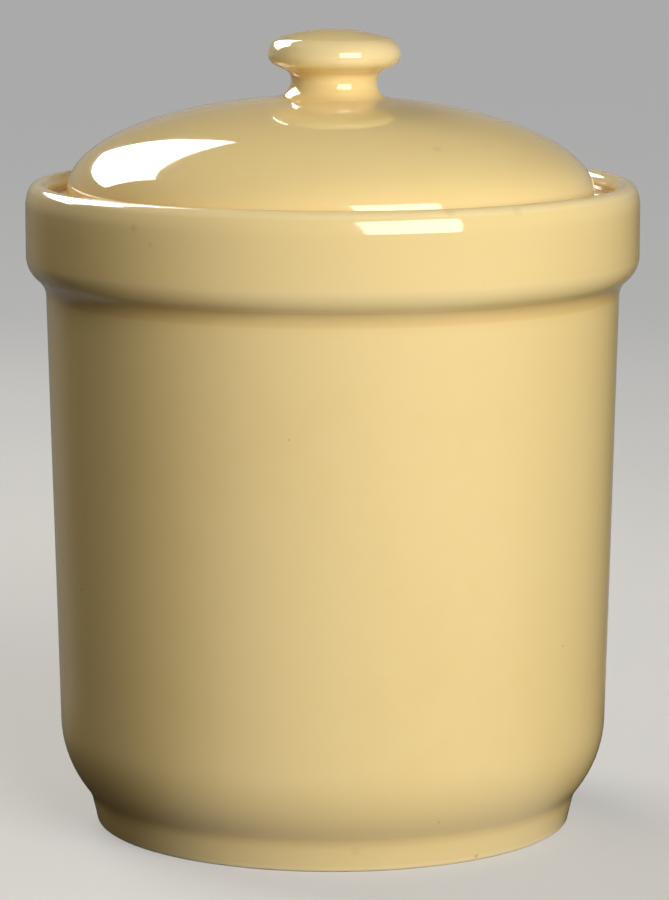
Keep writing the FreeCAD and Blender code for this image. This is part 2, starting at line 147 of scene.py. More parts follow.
def length_prop(name, description, millimetres):
    """A length that a user may change, given in millimetres."""
    return FloatProperty(
        name=name, description=description, default=millimetres * MM, unit="LENGTH")


def colour_prop(name, description, default):
    """A linear colour that a user may change."""
    return FloatVectorProperty(
        name=name, description=description, default=default, size=3, subtype="COLOR",
        min=0.0, max=1.0)


class JarSizes(bpy.types.PropertyGroup):
    """Sizes of the jar's half section."""

    body_radius: length_prop("Body radius", "Outside of the wall just under the collar", 82.3)
    wall_taper: length_prop(
        "Wall taper", "How much smaller the wall's radius is above the belly", 3.1)
    belly_round: length_prop(
        "Belly round", "Radius of the curve from the wall down to the foot", 32.4)
    foot_inset: length_prop(
        "Foot inset", "Body radius less the radius at the top of the foot", 11.5)
    foot_flare: length_prop("Foot flare", "How much smaller the foot is at the ground", 2.1)
    foot_height: length_prop("Foot height", "Ground to the crease above the foot", 9.0)
    foot_crease_round: length_prop(
        "Foot crease round", "Radius of the hollow where the foot meets the belly", 11.0)
    foot_edge_round: length_prop("Foot edge round", "Radius of the standing ring's edges", 0.8)
    foot_ring_width: length_prop("Foot ring width", "Width of the ring that the jar stands on", 5.2)
    foot_recess: length_prop("Foot recess", "How far the underside is above the ground", 3.0)
    recess_round: length_prop("Recess round", "Radius of the recess's inner corner", 1.6)
    wall_thickness: length_prop("Wall thickness", "Thickness of the jar's wall", 7.3)
    floor_thickness: length_prop("Floor thickness", "Thickness of the jar's floor", 8.0)
    heel_round: length_prop("Heel round", "Radius of the curve from the bore to the floor", 20.0)
    collar_height: length_prop(
        "Collar height", "Top of the rim to the turn of the curve below it", 27.1)
    collar_base_round: length_prop("Collar base round", "Radius of the collar's lower edge", 8.4)
    collar_cove_round: length_prop(
        "Collar cove round", "Radius of the hollow under the collar", 7.1)
    rim_thickness: length_prop("Rim thickness", "Collar's side to the wall of the gallery", 6.75)
    rim_outer_round: length_prop("Rim outer round", "Radius of the rim's outer shoulder", 12.0)
    rim_inner_round: length_prop("Rim inner round", "Radius of the rim's crest and inner edge", 3.0)
    gallery_depth: length_prop("Gallery depth", "Top of the rim down to the lid's seat", 4.2)
    gallery_corner_round: length_prop(
        "Gallery corner round", "Radius of the gallery's inner corner", 0.8)
    seat_width: length_prop("Seat width", "Width of the ledge that carries the lid", 9.65)
    seat_lip_height: length_prop(
        "Seat lip height", "Height of the upright face under the seat", 6.0)
    seat_lip_slope: length_prop(
        "Seat lip slope", "Height of the slope from that face out to the bore", 4.0)
    seat_edge_round: length_prop("Seat edge round", "Radius of the seat's edges", 0.7)
    unevenness: length_prop(
        "Unevenness", "Most that the surface falls short of its true radius", 0.15)


class LidSizes(bpy.types.PropertyGroup):
    """Sizes of the lid's half section."""

    lid_gap: length_prop("Lid gap", "Free ring between the lid's edge and the collar", 5.6)
    lid_edge_height: length_prop("Lid edge height", "Seat to the start of the dome", 1.5)
    lid_edge_round: length_prop("Lid edge round", "Radius of the lid's lower edge", 1.3)
    dome_rise: length_prop("Dome rise", "Height of the whole dome if it had no knob", 27.1)
    lid_thickness: length_prop("Lid thickness", "Thickness of the dome at its middle", 6.5)
    hollow_shoulder: length_prop(
        "Hollow shoulder", "Radius at the edge of the hollow under the dome", 12.0)
    flange_clearance: length_prop(
        "Flange clearance", "Free ring between the flange and the seat's lip", 1.3)
    flange_depth: length_prop("Flange depth", "How far the flange reaches below the seat", 6.0)
    flange_thickness: length_prop("Flange thickness", "Thickness of the flange", 5.0)
    flange_edge_round: length_prop("Flange edge round", "Radius of the flange's edges", 1.2)
    neck_radius: length_prop("Neck radius", "Radius of the knob's neck", 12.35)
    neck_base_round: length_prop(
        "Neck base round", "Radius of the hollow at the foot of the neck", 5.1)
    neck_top_round: length_prop("Neck top round", "Radius of the hollow under the knob", 2.7)
    knob_radius: length_prop("Knob radius", "Radius of the knob at its widest", 19.05)
    knob_lift: length_prop("Knob lift", "Top of the whole dome to the knob's widest level", 11.9)
    knob_crown: length_prop("Knob crown", "Widest level to the top of the knob", 7.25)
    knob_shoulder: length_prop("Knob shoulder", "Radius of the curve above the widest level", 5.0)
    knob_edge_round: length_prop(
        "Knob edge round", "Radius of the curve below the widest level", 3.4)
    knob_undercut: length_prop(
        "Knob undercut", "Widest level down to where the slope meets the neck", 5.4)
    lean: FloatProperty(
        name="Lean", description="How far the dome has warped over to one side in the firing",
        default=math.radians(0.5), subtype="ANGLE")
    shift: length_prop("Shift", "How far the lid sits off the jar's axis", 0.5)
    knob_shift: length_prop("Knob shift", "How far the knob sits off the dome's axis", 0.55)
    unevenness: length_prop(
        "Unevenness", "Most that the surface falls short of its true radius", 0.12)


class GlazeColours(bpy.types.PropertyGroup):
    """Colours of the glaze and of the clay under it, with painted shade in the hollows and a
    painted sheen on bulging edges.
    """

    glaze: colour_prop("Glaze", "The glaze where it lies evenly", (0.80, 0.629, 0.297))
    # This colour darkens the hollows: partly glaze run thick there, partly painted shade. Random
    # clouds of thicker glaze take it too.
    pooled_and_shaded: colour_prop(
        "Pooled glaze", "The glaze where it has run thick, in the hollows", (0.66, 0.41, 0.115))
    # This colour pales the bulging edges: partly glaze drawn back from them, partly a painted
    # sheen. Random clouds of thinner glaze take it too.
    thin_and_sheened: colour_prop(
        "Thin glaze", "The glaze where it has drawn back from an edge", (0.84, 0.70, 0.40))
    speck: colour_prop("Specks", "The small dark specks in the glaze", (0.36, 0.22, 0.08))
    clay: colour_prop("Bare clay", "The unglazed clay of the standing ring", (0.72, 0.63, 0.47))


class StageSettings(bpy.types.PropertyGroup):
    """The floor, the lamps and the camera."""

    floor_colour: colour_prop("Floor colour", "Colour of the floor", (0.40, 0.40, 0.40))
    floor_bounce: colour_prop(
        "Floor bounce", "Colour of the light that the floor throws back", (0.088, 0.074, 0.049))
    floor_radius: FloatProperty(
        name="Floor radius", description="Radius of the round floor",
        default=16.0, unit="LENGTH")
    key_power: FloatProperty(
        name="Key power", description="Power of the main lamp", default=29.5, unit="POWER")
    back_power: FloatProperty(
        name="Back power", description="Power of the lamp behind on the other side",
        default=20.0, unit="POWER")
    top_power: FloatProperty(
        name="Top power", description="Power of the lamp overhead", default=2.5, unit="POWER")
    card_radius: FloatProperty(
        name="Card radius", description="How far the dark card stands from the jar's axis",
        default=0.22, unit="LENGTH")
    card_height: FloatProperty(
        name="Card height", description="Height of the dark card", default=0.22, unit="LENGTH")
    lens: FloatProperty(
        name="Lens", description="Focal length in millimetres", default=172.0, unit="CAMERA")
    camera_distance: FloatProperty(
        name="Camera distance", description="How far the camera stands from the jar's axis",
        default=1.228, unit="LENGTH")
    camera_side: FloatProperty(
        name="Camera side", description="How far the camera stands to the right of the axis",
        default=0.0005, unit="LENGTH")
    camera_height: FloatProperty(
        name="Camera height", description="Height of the camera above the floor",
        default=0.3033, unit="LENGTH")
    camera_pitch: FloatProperty(
        name="Camera pitch", description="How far the camera looks down",
        default=math.radians(9.05), subtype="ANGLE")


class CanisterSettings(bpy.types.PropertyGroup):
    """Everything that can be changed, in one place."""

    jar: PointerProperty(type=JarSizes, name="Jar", description="Sizes of the jar")
    lid: PointerProperty(type=LidSizes, name="Lid", description="Sizes of the lid")
    colours: PointerProperty(type=GlazeColours, name="Colours", description="Glaze and clay")
    stage: PointerProperty(type=StageSettings, name="Stage", description="Floor and lamps")


# ------------------------------
# Half sections: arrays of (radius, height) points


def smooth(share):
    """The share held between 0 and 1, with a soft start and end: 3 s^2 - 2 s^3."""
    share = np.clip(share, 0, 1)
    return share * share * (3 - 2 * share)


def arc(centre, radius, start, end):
    """Points centre + radius * (cos t, sin t), for t run evenly between two angles in radians."""
    count = max(int(abs(end - start) * radius / FINE_STEP), 12)
    turn = np.linspace(start, end, count)
    return np.column_stack((centre[0] + radius * np.cos(turn), centre[1] + radius * np.sin(turn)))


def oval(level, half_width, half_height, start, end):
    """Points (half_width * cos t, level + half_height * sin t), for t between two angles."""
    count = max(int(abs(end - start) * half_width / FINE_STEP), 12)
    turn = np.linspace(start, end, count)
    return np.column_stack((half_width * np.cos(turn), level + half_height * np.sin(turn)))


def corner(before, tip, after, radius):
    """An arc that touches both lines of a corner.

    Its centre lies on the line that halves the corner, at the radius over the sine of half the
    corner's angle, and it runs the short way between the two points where it touches.
    """
    before, tip, after = (np.array(place, float) for place in (before, tip, after))
    back = (before - tip) / np.linalg.norm(before - tip)
    on = (after - tip) / np.linalg.norm(after - tip)
    half = math.acos(np.clip(back @ on, -1, 1)) / 2
    centre = tip + (back + on) / np.linalg.norm(back + on) * radius / math.sin(half)
    reach = radius / math.tan(half)
    spokes = [tip + side * reach - centre for side in (back, on)]
    start, end = (math.atan2(spoke[1], spoke[0]) for spoke in spokes)
    sweep = (end - start + math.pi) % (2 * math.pi) - math.pi
    return arc(centre, radius, start, start + sweep)


def arch(half_width, level, rise, shoulder):
    """From a widest ring up to the axis: a tight arc, then a flat one that carries on from it.

    The flat arc's radius f makes both arcs touch: (w - s)^2 + (f - h)^2 = (f - s)^2.
    """
    reach = half_width - shoulder
    flat = (reach ** 2 + rise ** 2 - shoulder ** 2) / (2 * (rise - shoulder))
    lean = math.atan2(flat - rise, reach)
    tight_arc = arc((reach, level), shoulder, 0, lean)
    flat_arc = arc((0, level + rise - flat), flat, lean, math.pi / 2)
    return np.vstack((tight_arc, flat_arc))


def evenly_spaced(points, step):
    """The same line with its points a fixed step apart along it."""
    gaps = np.hypot(*np.diff(points, axis=0).T)
    points = points[np.concatenate(([True], gaps > 1e-9))]
    length = np.concatenate(([0], np.cumsum(np.hypot(*np.diff(points, axis=0).T))))
    count = int(length[-1] / step) + 1
    place = np.linspace(0, length[-1], count)
    return np.column_stack([np.interp(place, length, points[:, side]) for side in (0, 1)])


def running_mean(values, width):
    """Mean over a window of an odd number of points, with the ends held."""
    half = width // 2
    padded = np.concatenate((np.full(half, values[0]), values, np.full(half, values[-1])))
    total = np.cumsum(np.concatenate(([0.0], padded)))
    return (total[2 * half + 1:] - total[:-2 * half - 1]) / (2 * half + 1)


def softened(points, width):
    """The line with its creases softened as glaze softens them: two running means along it."""
    window = int(width / FINE_STEP) | 1
    soft = points.copy()
    for _ in range(2):
        soft = np.column_stack([running_mean(soft[:, side], window) for side in (0, 1)])
    ends = np.minimum(np.arange(len(points)), np.arange(len(points))[::-1])
    blend = np.clip(ends / (2 * window), 0, 1)[:, None]
    return points * (1 - blend) + soft * blend


def bending(points):
    """How fast the line turns, in radians per metre: positive where the surface bulges."""
    run = np.diff(points, axis=0)
    heading = np.unwrap(np.arctan2(run[:, 1], run[:, 0]))
    turn = np.concatenate(([0], np.diff(heading), [0]))
    return turn / FINE_STEP


def thinned(points, rows):
    """The line cut down to a number of rows, closest together where it bends.

    Rows are placed evenly along a sum of the length, in row lengths, and the turning, in row
    turns. Gives the points and the mean bending round each.
    """
    bend = running_mean(bending(points), 2 * int(BEND_WINDOW / FINE_STEP) + 1)
    density = 1 / ROW_LENGTH + np.abs(bend) / ROW_TURN
    total = np.concatenate(([0], np.cumsum((density[1:] + density[:-1]) / 2)))
    place = np.linspace(0, total[-1], rows)
    columns = [np.interp(place, total, values) for values in (points[:, 0], points[:, 1], bend)]
    return np.column_stack(columns[:2]), columns[2]


def jar_section(size, collar, height):
    """The jar's half section: underside, foot, belly, wall, collar, rim, gallery, bore, floor."""
    foot_top = size.body_radius - size.foot_inset
    foot_bottom = foot_top - size.foot_flare
    foot_inner = foot_bottom - size.foot_ring_width
    belly_top = size.body_radius - size.wall_taper
    belly, cove, base = size.belly_round, size.collar_cove_round, size.collar_base_round
    turn = height - size.collar_height

    # The wall leans out by an angle that depends on where the belly and the cove end.
    lean = 0.0
    for _ in range(4):
        belly_centre = np.array([belly_top - belly * math.cos(lean), 0.0])
        belly_start = math.acos((foot_top - belly_centre[0]) / belly)
        belly_centre[1] = size.foot_height + belly * math.sin(belly_start)
        swing = math.acos(
            (cove * math.cos(lean) + base - collar + size.body_radius) / (cove + base))
        cove_centre = (size.body_radius + cove * math.cos(lean), turn - cove * math.sin(swing))
        rise = (cove_centre[1] + cove * math.sin(lean)) - (belly_centre[1] - belly * math.sin(lean))
        lean = math.atan2(size.wall_taper, rise)

    # The foot's hollow is an arc that touches the foot's slope and the belly's arc.
    slope = math.atan2(size.foot_flare, size.foot_height)
    out = np.array([math.cos(slope), -math.sin(slope)])
    up = np.array([math.sin(slope), math.cos(slope)])
    crease = size.foot_crease_round
    offset = np.array([foot_top, size.foot_height]) + crease * out - belly_centre
    along = offset @ up
    back = along + math.sqrt(along ** 2 - offset @ offset + (belly + crease) ** 2)
    crease_centre = belly_centre + offset - back * up
    to_belly = belly_centre - crease_centre
    meeting = math.atan2(to_belly[1], to_belly[0])

    ground = [(foot_inner, 0), (foot_bottom, 0)]
    recess = (foot_inner, size.foot_recess)
    foot_edge = size.foot_edge_round
    foot_end = crease_centre - crease * out
    underside = np.vstack((
        [(0, size.foot_recess)],
        corner((0, size.foot_recess), recess, ground[0], size.recess_round),
        corner(recess, ground[0], ground[1], foot_edge),
        corner(ground[0], ground[1], foot_end, foot_edge)))

    outer, inner = size.rim_outer_round, size.rim_inner_round
    gallery = collar - size.rim_thickness
    crest = math.acos((outer + inner - size.rim_thickness) / (outer - inner))
    inner_level = height - inner
    outer_level = inner_level - (outer - inner) * math.sin(crest)
    outside = np.vstack((
        arc(crease_centre, crease, math.pi - slope, meeting),
        arc(belly_centre, belly, meeting - math.pi, -lean),
        arc(cove_centre, cove, math.pi - lean, math.pi - swing),
        arc((collar - base, turn + base * math.sin(swing)), base, -swing, 0),
        arc((collar - outer, outer_level), outer, 0, crest),
        arc((gallery + inner, inner_level), inner, crest, math.pi)))

    seat = height - size.gallery_depth
    lip = gallery - size.seat_width
    bore_top = size.body_radius - size.wall_thickness
    bore_bottom = belly_top - size.wall_thickness
    floor = size.foot_recess + size.floor_thickness
    heel = size.heel_round
    places = [
        (gallery, inner_level), (gallery, seat), (lip, seat), (lip, seat - size.seat_lip_height),
        (bore_top, seat - size.seat_lip_height - size.seat_lip_slope),
        (bore_bottom, floor), (0, floor)]
    rounds = [size.gallery_corner_round] + [size.seat_edge_round] * 3 + [heel]
    inside = [corner(*places[first:first + 3], radius) for first, radius in enumerate(rounds)]
    return np.vstack([underside, outside] + inside + [[(0, floor)]])


def hollow_over(curve, side, radius):
    """An arc that touches an upright line from outside and a curve below from above.

    Its centre is one radius out from the line, at the height where the nearest point of the
    curve is one radius away. Gives the arc and the number of the curve's point that it meets.
    """
    heights = np.linspace(curve[:, 1].max() + 2 * radius, curve[:, 1].min(), SEARCH_STEPS)
    across = curve[None, :, 0] - (side + radius)
    away = np.hypot(across, curve[None, :, 1] - heights[:, None]).min(axis=1)
    first = np.argmax(away < radius)
    level = np.interp(-radius, -away[first - 1:first + 1], heights[first - 1:first + 1])
    centre = np.array([side + radius, level])
    spokes = curve - centre
    touch = np.argmin(np.hypot(*spokes.T))
    start = math.atan2(spokes[touch, 1], spokes[touch, 0])
    return arc(centre, radius, start, -math.pi), touch


def lid_section(size, collar, rim_thickness, seat_width, seat):
    """The lid's half section: hollow, flange, edge, dome, neck and knob."""
    gallery = collar - rim_thickness
    edge = gallery - size.lid_gap
    flange = gallery - seat_width - size.flange_clearance
    flange_inner = flange - size.flange_thickness
    flange_bottom = seat - size.flange_depth
    dome_base = seat + size.lid_edge_height

    hollow = arch(flange_inner, dome_base, size.dome_rise - size.lid_thickness,
                  size.hollow_shoulder)[::-1]
    places = [
        (flange_inner, dome_base), (flange_inner, flange_bottom), (flange, flange_bottom),
        (flange, seat), (edge, seat), (edge, dome_base)]
    rounds = [size.flange_edge_round] * 2 + [FLANGE_ROOT_ROUND, size.lid_edge_round]
    flanks = [corner(*places[first:first + 3], radius) for first, radius in enumerate(rounds)]

    neck, knob, knob_edge = size.neck_radius, size.knob_radius, size.knob_edge_round
    knob_level = dome_base + size.dome_rise + size.knob_lift
    neck_top = (neck, knob_level - size.knob_undercut)
    dome = oval(dome_base, edge, size.dome_rise, 0, math.acos(neck / edge))
    neck_base, touch = hollow_over(dome, neck, size.neck_base_round)
    # The slope under the knob touches the arc of the knob's edge.
    reach = knob - knob_edge - neck
    slope = math.atan2(size.knob_undercut, reach) - math.asin(
        knob_edge / math.hypot(reach, size.knob_undercut))
    on_slope = (neck + math.cos(slope) * knob, neck_top[1] + math.sin(slope) * knob)
    under = corner((neck, dome_base), neck_top, on_slope, size.neck_top_round)
    rim = arc((knob - knob_edge, knob_level), knob_edge, slope - math.pi / 2, 0)
    crown = arch(knob, knob_level, size.knob_crown, size.knob_shoulder)
    return np.vstack([hollow] + flanks + [dome[:touch], neck_base, under, rim, crown])


# ------------------------------
# Meshes


def sway(angle, place, waves):
    """A slow rise and fall between 0 and 1, round a piece and along its section.

    It is the mean of cosines of (turns * angle + place / length * 2 pi + start), one for each
    wave given as (turns, length in metres, start), put into the range from 0 to 1.
    """
    total = sum(np.cos(turns * angle + 2 * math.pi * place / length + start)
                for turns, length, start in waves)
    return 0.5 + 0.5 * total / len(waves)


def leaned(points, seat, lean, shift, knob_shift):
    """The points above the seat leaned over to the right, x to x + z' sin a and z to z - x sin a.

    z' is the height above the seat, and the lean grows smoothly from nothing over the first
    few millimetres above it, so that the underside still lies flat. All of it is moved left by
    the shift, and the knob is moved back to the right by its own, which grows along the neck.
    """
    above = points[:, 2] - seat
    share = smooth(above / LEAN_RISE) * math.sin(lean)
    moved = points.copy()
    moved[:, 0] += above * share - shift
    moved[:, 2] -= points[:, 0] * share
    moved[:, 0] += smooth((above - NECK_LEVEL) / NECK_RISE) * knob_shift
    return moved


def turned_piece(name, section, rows, waves, unevenness, warp=None):
    """Makes a closed surface by turning a half section once round the Z axis.

    The point at row i and column j is (r cos a, r sin a, z), with r and z from row i and a the
    j-th of evenly spaced angles. r is first cut by unevenness times a slow sway, which fades out
    towards the axis. The section starts and ends on the axis, where one point closes the surface.
    A warp, where there is one, takes and gives back the array of all points. The attribute hollow
    is the hollow radius over the section's own, below 0 where it bulges, from -1 to 1.
    """
    fine = evenly_spaced(section, FINE_STEP)
    line, bend = thinned(softened(fine, CREASE_SOFTENING), rows)
    line[[0, -1], 0] = 0
    ring = line[1:-1]
    along = np.concatenate(([0], np.cumsum(np.hypot(*np.diff(ring, axis=0).T))))[:, None]
    angle = np.arange(COLUMNS)[None, :] * (2 * math.pi / COLUMNS)
    steady = np.clip(ring[:, :1] / STEADY_RADIUS, 0, 1)
    radius = ring[:, :1] - unevenness * steady * sway(angle, along, waves)
    height = np.broadcast_to(ring[:, 1:], radius.shape)
    grid = np.stack((radius * np.cos(angle), radius * np.sin(angle), height), axis=-1)
    points = np.vstack(([(0, 0, line[0, 1])], grid.reshape(-1, 3), [(0, 0, line[-1, 1])]))
    if warp is not None:
        points = warp(points)

    count = len(ring)
    index = 1 + np.arange(count * COLUMNS).reshape(count, COLUMNS)
    beside = np.roll(index, -1, axis=1)
    quads = np.stack((index[:-1], beside[:-1], beside[1:], index[1:]), axis=-1).reshape(-1, 4)
    last = len(points) - 1
    first_fan = np.stack((np.zeros(COLUMNS, int), beside[0], index[0]), axis=-1)
    last_fan = np.stack((index[-1], beside[-1], np.full(COLUMNS, last)), axis=-1)

    loops = np.concatenate((quads.ravel(), first_fan.ravel(), last_fan.ravel()))
    sides = np.concatenate((np.full(len(quads), 4), np.full(2 * COLUMNS, 3)))
    mesh = bpy.data.meshes.new(name)
    mesh.vertices.add(len(points))
    mesh.vertices.foreach_set("co", points.ravel().astype(np.float32))
    mesh.loops.add(len(loops))
    mesh.loops.foreach_set("vertex_index", loops.astype(np.int32))
    mesh.polygons.add(len(sides))
    mesh.polygons.foreach_set("loop_start", (np.cumsum(sides) - sides).astype(np.int32))
    mesh.polygons.foreach_set("use_smooth", np.ones(len(sides), bool))
    mesh.update(calc_edges=True)
    if mesh.validate():
        raise RuntimeError("%s has bad faces" % name)

    hollow = np.repeat(np.clip(-bend[1:-1] * HOLLOW_RADIUS, -1, 1), COLUMNS)
    hollow = np.concatenate(([0], hollow, [0])).astype(np.float32)
    mesh.attributes.new("hollow", "FLOAT", "POINT").data.foreach_set("value", hollow)
    piece = bpy.data.objects.new(name, mesh)
    bpy.context.scene.collection.objects.link(piece)
    return piece


# ------------------------------
# Materials


def add_node(tree, kind, inputs=None, **settings):
    """Adds a node with its options set and its inputs filled with values or links."""
    made = tree.nodes.new(kind)
    for name, setting in settings.items():
        setattr(made, name, setting)
    for name, source in (inputs or {}).items():
        if isinstance(source, bpy.types.NodeSocket):
            tree.links.new(source, made.inputs[name])
        else:
            made.inputs[name].default_value = source
    return made


def maths(tree, operation, *inputs, clamp=False):
    """The result of a sum on values or links."""
    made = add_node(
        tree, "ShaderNodeMath", dict(enumerate(inputs)), operation=operation, use_clamp=clamp)
    return made.outputs[0]


def ramp(tree, source, low, high, to_low=0.0, to_high=1.0):
    """A smooth step from one value to another as the source goes from low to high."""
    made = add_node(tree, "ShaderNodeMapRange", {
        "Value": source, "From Min": low, "From Max": high, "To Min": to_low, "To Max": to_high},
        interpolation_type="SMOOTHSTEP")
    return made.outputs["Result"]


def mix_colours(tree, factor, first, second):
    """Colour first where the factor is 0, second where it is 1."""
    made = add_node(tree, "ShaderNodeMix", {0: factor, 6: first, 7: second}, data_type="RGBA")
    return made.outputs[2]


def noise(tree, vector, scale, detail=2.0):
    """Cloudy noise round 0.5, with its scale in cycles per metre."""
    made = add_node(tree, "ShaderNodeTexNoise", {
        "Vector": vector, "Scale": scale, "Detail": detail, "Roughness": 0.55})
    return made.outputs["Fac"]


def new_group(name, inputs, outputs):
    """Starts a node group and gives its tree, its input sockets and its output node."""
    tree = bpy.data.node_groups.new(name, "ShaderNodeTree")
    for label, kind in inputs:
        tree.interface.new_socket(name=label, in_out="INPUT", socket_type="NodeSocket" + kind)
    for label, kind in outputs:
        tree.interface.new_socket(name=label, in_out="OUTPUT", socket_type="NodeSocket" + kind)
    return tree, add_node(tree, "NodeGroupInput").outputs, add_node(tree, "NodeGroupOutput").inputs


def dots(tree, vector, cells, channel, rarest, largest):
    """Round dots in a few of a pattern's cells: 1 inside a dot, 0 outside.

    A cell has a dot where one of its random values is over the rarest, and the dot's radius grows
    from nothing to the largest as that value goes on up to 1.
    """
    pattern = add_node(tree, "ShaderNodeTexVoronoi", {
        "Vector": vector, "Scale": cells, "Randomness": 1.0}).outputs
    chance = add_node(tree, "ShaderNodeSeparateColor", {"Color": pattern["Color"]})
    radius = ramp(tree, chance.outputs[channel], rarest, 1.0, 0.0, largest)
    return ramp(tree, maths(tree, "SUBTRACT", radius, pattern["Distance"]), 0.0, DOT_EDGE)


def glaze_colour_group():
    """Colour of a glaze: clouds of tone, darker in hollows, paler on bulging edges, with dark
    specks. The darker hollows are partly glaze that has run thick and partly painted shade; the
    paler edges are partly glaze that has drawn back and partly a painted sheen.
    """
    tree, given, result = new_group(
        "glaze_colour",
        [("Vector", "Vector"), ("Hollow", "Float"), ("Glaze", "Color"), ("Pooled and shaded", "Color"),
         ("Thin and sheened", "Color"), ("Speck", "Color"), ("Pooling and shade", "Float"), ("Clouds", "Float"),
         ("Specks", "Float")],
        [("Color", "Color")])
    cloud = maths(
        tree, "ADD",
        maths(tree, "MULTIPLY", noise(tree, given["Vector"], SLOW_CLOUDS), SLOW_SHARE),
        maths(tree, "MULTIPLY", noise(tree, given["Vector"], FAST_CLOUDS, 3.0), 1 - SLOW_SHARE))
    thick = maths(tree, "MULTIPLY", ramp(tree, cloud, low=0.5, high=0.68), given["Clouds"])
    bare = maths(tree, "MULTIPLY", ramp(tree, cloud, low=0.5, high=0.32), given["Clouds"])
    # Painted shade in the hollows, together with the glaze that runs thick there.
    deep_and_shaded = maths(
        tree, "MULTIPLY", ramp(tree, given["Hollow"], low=0.05, high=0.55), given["Pooling and shade"])
    # Painted sheen on bulging edges, together with the glaze that draws back from them.
    edge = ramp(tree, given["Hollow"], low=-0.08, high=-0.5, to_high=0.6)
    pooled_and_shaded = maths(tree, "ADD", deep_and_shaded, thick, clamp=True)
    thin_and_sheened = maths(tree, "ADD", edge, bare, clamp=True)
    colour = mix_colours(tree, pooled_and_shaded, given["Glaze"], given["Pooled and shaded"])
    colour = mix_colours(tree, thin_and_sheened, colour, given["Thin and sheened"])
    speck = maths(
        tree, "MULTIPLY",
        dots(tree, given["Vector"], SPECK_CELLS, channel=0, rarest=0.90, largest=0.085),
        given["Specks"])
    tree.links.new(mix_colours(tree, speck, colour, given["Speck"]), result["Color"])
    return tree


def glaze_relief_group():
    """Height of a glaze's surface: a slow swell, a fine orange peel and a few pinholes."""
    tree, given, result = new_group(
        "glaze_relief", [("Vector", "Vector"), ("Swell", "Float"), ("Peel", "Float"),
                         ("Pinholes", "Float")], [("Height", "Float")])
    vector = given["Vector"]
    swell = maths(tree, "MULTIPLY", noise(tree, vector, SWELL_SCALE, 1.0), given["Swell"])
    peel = maths(tree, "MULTIPLY", noise(tree, vector, PEEL_SCALE, 1.0), given["Peel"])
    pit = maths(
        tree, "MULTIPLY",
        dots(tree, vector, PINHOLE_CELLS, channel=1, rarest=0.93, largest=0.05),
        given["Pinholes"])
    height = maths(tree, "SUBTRACT", maths(tree, "ADD", swell, peel), pit)
    tree.links.new(height, result["Height"])
    return tree


def spot_group():
    """A soft round mark: full within 0.7 of a radius of a place, gone at twice the radius."""
    tree, given, result = new_group(
        "glaze_spot", [("Vector", "Vector"), ("Place", "Vector"), ("Radius", "Float"),
                       ("Amount", "Float")], [("Mask", "Float")])
    away = add_node(tree, "ShaderNodeVectorMath", {0: given["Vector"], 1: given["Place"]},
                    operation="DISTANCE")
    share = maths(tree, "DIVIDE", away.outputs["Value"], given["Radius"])
    mask = maths(tree, "MULTIPLY", ramp(tree, share, 2.0, 0.7), given["Amount"])
    tree.links.new(mask, result["Mask"])
    return tree


def use_group(tree, name, build, inputs):
    """A node of the group of that name, which is built the first time that it is used."""
    group = bpy.data.node_groups.get(name) or build()
    return add_node(tree, "ShaderNodeGroup", inputs, node_tree=group).outputs


def rgba(colour):
    """The colour with full alpha, as a node's socket takes it."""
    return (*colour, 1.0)


def new_material(name):
    """Starts a material and gives it with its empty node tree."""
    material = bpy.data.materials.new(name)
    material.use_nodes = True
    material.node_tree.nodes.clear()
    return material, material.node_tree


def glaze_material(name, colours, pooling_and_shade, clouds, specks, spots, bare_below=None):
    """A glossy glaze, as one material.

    bare_below is the height under which the clay is left unglazed, or None where it is glazed
    all over. Each spot is (place, radius, amount).
    """
    material, tree = new_material(name)
    place = add_node(tree, "ShaderNodeTexCoord").outputs["Object"]
    hollow = add_node(tree, "ShaderNodeAttribute", attribute_name="hollow").outputs["Fac"]
    # The colour group paints shade into the hollows, at the given strength, along with the glaze's
    # real thickening there.
    colour = use_group(tree, "glaze_colour", glaze_colour_group, {
        "Vector": place, "Hollow": hollow,
        "Glaze": rgba(colours.glaze), "Pooled and shaded": rgba(colours.pooled_and_shaded),
        "Thin and sheened": rgba(colours.thin_and_sheened), "Speck": rgba(colours.speck),
        "Pooling and shade": pooling_and_shade, "Clouds": clouds, "Specks": specks})["Color"]
    for where, radius, amount in spots:
        mask = use_group(tree, "glaze_spot", spot_group, {
            "Vector": place, "Place": where, "Radius": radius, "Amount": amount})["Mask"]
        colour = mix_colours(tree, mask, colour, rgba(colours.speck))

    roughness = ramp(
        tree, noise(tree, place, GLOSS_SCALE, 3.0), *NOISE_BAND, GLOSSIEST, DULLEST)
    if bare_below is not None:
        upright = add_node(tree, "ShaderNodeSeparateXYZ", {0: place}).outputs["Z"]
        ragged = maths(
            tree, "MULTIPLY_ADD", noise(tree, place, CLAY_SCALE), GLAZE_RAGGED, upright)
        bare = ramp(tree, ragged, *(bare_below + height for height in GLAZE_END))
        colour = mix_colours(tree, bare, colour, rgba(colours.clay))
        roughness = maths(tree, "MULTIPLY_ADD", bare, CLAY_ROUGHNESS, roughness)
    height = use_group(tree, "glaze_relief", glaze_relief_group, {"Vector": place, **RELIEF})
    bump = add_node(tree, "ShaderNodeBump", {
        "Height": height["Height"], "Strength": 1.0, "Distance": MM})
    shader = add_node(tree, "ShaderNodeBsdfPrincipled", {
        "Base Color": colour, "Roughness": roughness, "IOR": GLAZE_IOR,
        "Normal": bump.outputs["Normal"]})
    add_node(tree, "ShaderNodeOutputMaterial", {"Surface": shader.outputs[0]})
    return material


def seen_rays(tree):
    """1 on rays from the camera and in reflections and refractions, 0 on rays that bring light."""
    path = add_node(tree, "ShaderNodeLightPath").outputs
    return maths(tree, "MAXIMUM", path["Is Camera Ray"], maths(
        tree, "MAXIMUM", path["Is Glossy Ray"], path["Is Transmission Ray"]))


